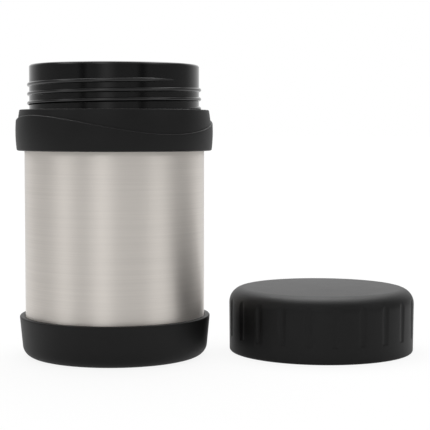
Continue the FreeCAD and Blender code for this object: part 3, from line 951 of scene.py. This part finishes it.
def make_floor():
    """A pale floor that takes the shadow near the object and only glows white further out."""
    half = 20.0
    pale = (0.9, 0.9, 0.9, 1.0)
    white = (1.0, 1.0, 1.0, 1.0)
    glow_strength = 1.03
    near_glow = 0.85
    mirrored_glow = 0.4
    near = 0.2
    far = 1.0
    mesh = bpy.data.meshes.new("floor")
    corners = [(-half, -half, 0), (half, -half, 0), (half, half, 0), (-half, half, 0)]
    mesh.from_pydata(corners, [], [(0, 1, 2, 3)])
    floor = linked("floor", mesh)
    material = bpy.data.materials.new("pale_floor")
    material.use_nodes = True
    tree = material.node_tree
    tree.nodes.clear()
    shade = tree.nodes.new("ShaderNodeBsdfDiffuse")
    shade.inputs["Color"].default_value = pale
    glow = tree.nodes.new("ShaderNodeEmission")
    glow.inputs["Color"].default_value = white
    glow.inputs["Strength"].default_value = glow_strength
    spot = tree.nodes.new("ShaderNodeTexCoord")
    reach = tree.nodes.new("ShaderNodeVectorMath")
    reach.operation = "LENGTH"
    tree.links.new(spot.outputs["Object"], reach.inputs[0])
    outwards = Field(tree, reach.outputs["Value"]).blend(near, far)
    camera_ray, mirrored_ray = ray_kinds(tree)
    direct = camera_ray * (outwards * (1.0 - near_glow) + near_glow)
    glowing = direct.apply("MAXIMUM", mirrored_ray * mirrored_glow)
    mix = tree.nodes.new("ShaderNodeMixShader")
    tree.links.new(glowing.socket, mix.inputs["Fac"])
    tree.links.new(shade.outputs[0], mix.inputs[1])
    tree.links.new(glow.outputs[0], mix.inputs[2])
    leave = tree.nodes.new("ShaderNodeOutputMaterial")
    tree.links.new(mix.outputs[0], leave.inputs["Surface"])
    mesh.materials.append(material)


def bump_between(place, low, middle, high):
    """0 at low, 1 at the middle and 0 again at high."""
    return place.blend(low, middle) * place.blend(middle, high).rest()


def mirrored_room(tree):
    """How bright the room is each way, where gloss and steel mirror it.

    It is white behind the object and darker ahead of it, where the camera stands. Ahead it
    has a window, upright strips of light and dark gaps, and a bright patch lies overhead.
    Places in it are parts of a unit direction: across to the right, away from the camera,
    and up.
    """
    front_wall = 0.27
    window_light = 0.30
    gap_depth = 0.65
    high_light = 0.40
    strip_light = 1.45
    right_strip_share = 0.8
    back_light = 0.35
    overhead_light = 3.4
    ground_share = 0.9
    sight = tree.nodes.new("ShaderNodeTexCoord")
    parts = tree.nodes.new("ShaderNodeSeparateXYZ")
    tree.links.new(sight.outputs["Generated"], parts.inputs[0])
    across, away, up = [Field(tree, socket) for socket in parts.outputs]

    room = away.blend(0.35, 1.2) * (1.0 - front_wall) + front_wall
    ahead = away.blend(-0.2, 0.0).rest()
    window = bump_between(across, -0.40, -0.15, 0.14)
    room = room + window * ahead * window_light
    left_gap = bump_between(across, -0.76, -0.64, -0.52)
    right_gap = bump_between(across, 0.50, 0.63, 0.78)
    room = room - room * (left_gap + right_gap) * ahead * gap_depth

    left_strip = bump_between(across, -0.98, -0.85, -0.66)
    middle_strip = bump_between(across, -0.50, -0.27, 0.02)
    right_strip = bump_between(across, 0.55, 0.78, 0.95) * right_strip_share
    strips = left_strip + middle_strip + right_strip
    tall = bump_between(up, 0.10, 0.45, 0.85)
    room = room + tall * (strips * strip_light + high_light) * ahead

    behind = away.blend(0.3, 0.9) * up.blend(0.03, 0.30)
    overhead = (up + away * 0.6).blend(0.78, 1.10) * up.blend(0.60, 0.85)
    room = room + behind * back_light + overhead * overhead_light
    below = up.blend(-0.03, 0.0).rest()
    return room + (below - room * below) * ground_share


def make_world():
    """The room: white to the camera, an even light on everything, and shaped in a gloss."""
    even_light = 0.66
    world = bpy.data.worlds.new("soft_room")
    bpy.context.scene.world = world
    world.use_nodes = True
    tree = world.node_tree
    tree.nodes.clear()
    camera_ray, mirrored_ray = ray_kinds(tree)
    lit = mirrored_ray * (mirrored_room(tree) - even_light) + even_light
    lit = camera_ray + lit * camera_ray.rest()
    light = tree.nodes.new("ShaderNodeBackground")
    light.inputs["Color"].default_value = (1.0, 1.0, 1.0, 1.0)
    tree.links.new(lit.socket, light.inputs["Strength"])
    leave = tree.nodes.new("ShaderNodeOutputWorld")
    tree.links.new(light.outputs[0], leave.inputs["Surface"])


def make_lamp(name, place, aim, width, height, power):
    """A soft panel of light at a place, facing a point."""
    lamp = bpy.data.lights.new(name, "AREA")
    lamp.shape = "RECTANGLE"
    lamp.size = width
    lamp.size_y = height
    lamp.energy = power
    panel = linked(name, lamp)
    panel.location = place
    panel.rotation_euler = (Vector(aim) - Vector(place)).to_track_quat("-Z", "Y").to_euler()


def make_camera():
    """The photograph's own view: a long lens at the collar's height, dipped a little.

    Swing, dip and roll are in radians.
    """
    photo_side = 430
    focal_pixels = 1322.3
    sensor = 36.0
    place = Vector((24.45, -608.37, 103.24)) * MM
    swing = -0.0355
    dip = 0.0639
    roll = 0.0012
    ahead = Vector((
        -math.sin(swing) * math.cos(dip), math.cos(swing) * math.cos(dip), -math.sin(dip)
    ))
    level_right = ahead.cross(Vector((0, 0, 1))).normalized()
    level_up = level_right.cross(ahead)
    right = level_right * math.cos(roll) + level_up * math.sin(roll)
    up = right.cross(ahead)
    data = bpy.data.cameras.new("photo_camera")
    data.sensor_width = sensor
    data.lens = focal_pixels / photo_side * sensor
    data.clip_start = 0.01
    camera = linked("photo_camera", data)
    turn = Matrix((right, up, -ahead)).transposed().to_4x4()
    camera.matrix_world = Matrix.Translation(place) @ turn
    bpy.context.scene.camera = camera


dress_solids()
make_wall()
make_liner()
make_neck()
make_neck_thread()
make_collar()
make_cup()
make_lid_shell()
make_cap()
make_cap_thread()
make_seal()
make_floor()
make_world()
make_lamp(
    "top_panel", place=(0.05, 0.45, 1.1), aim=(0.05, 0.0, 0.05),
    width=1.0, height=0.8, power=6.0,
)
make_camera()
bpy.context.scene.view_settings.view_transform = "Standard"
